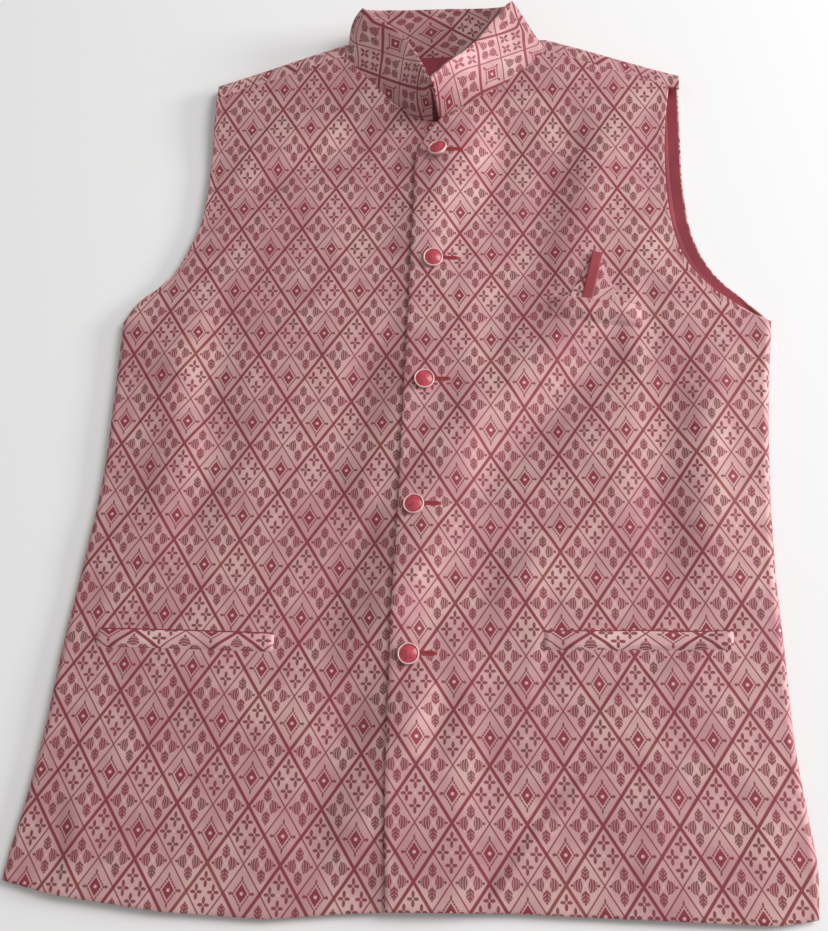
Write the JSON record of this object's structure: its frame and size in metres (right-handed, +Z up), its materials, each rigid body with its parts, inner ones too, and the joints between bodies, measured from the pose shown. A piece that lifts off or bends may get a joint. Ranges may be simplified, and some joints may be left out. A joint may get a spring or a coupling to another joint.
{
  "type": "nehru jacket",
  "caption": "Sleeveless stand-collar jacket in lattice brocade, laid flat on its back and buttoned, with slim welt pockets and a folded pocket square.",
  "frame": {"origin": "bottom centre of the laid-out jacket's box, on the surface it lies on", "axes": "+X towards the wearer's left side, +Y from the hem towards the collar, +Z up from the surface, out of the fronts"},
  "size_m": [0.5818, 0.7864, 0.0542],
  "materials": {
    "brocade": "satin weave with a raised lattice",
    "collar_brocade": "satin weave with a raised lattice",
    "lining": "plain satin",
    "strip": "plain satin",
    "button_rim": "pale gloss",
    "button_cap": "domed gloss"
  },
  "bodies": {
    "root": {"back": "brocade", "back_lining": "lining", "button_cap_1": "button_cap", "button_cap_2": "button_cap", "button_cap_3": "button_cap", "button_cap_4": "button_cap", "button_cap_5": "button_cap", "button_rim_1": "button_rim", "button_rim_2": "button_rim", "button_rim_3": "button_rim", "button_rim_4": "button_rim", "button_rim_5": "button_rim", "chest_welt": "brocade", "collar_inner": "collar_brocade", "collar_outer": "collar_brocade", "front_left": "brocade", "front_right": "brocade", "square_fold": "brocade", "square_strip": "strip", "welt_left": "brocade", "welt_right": "brocade"}
  },
  "joints": []
}
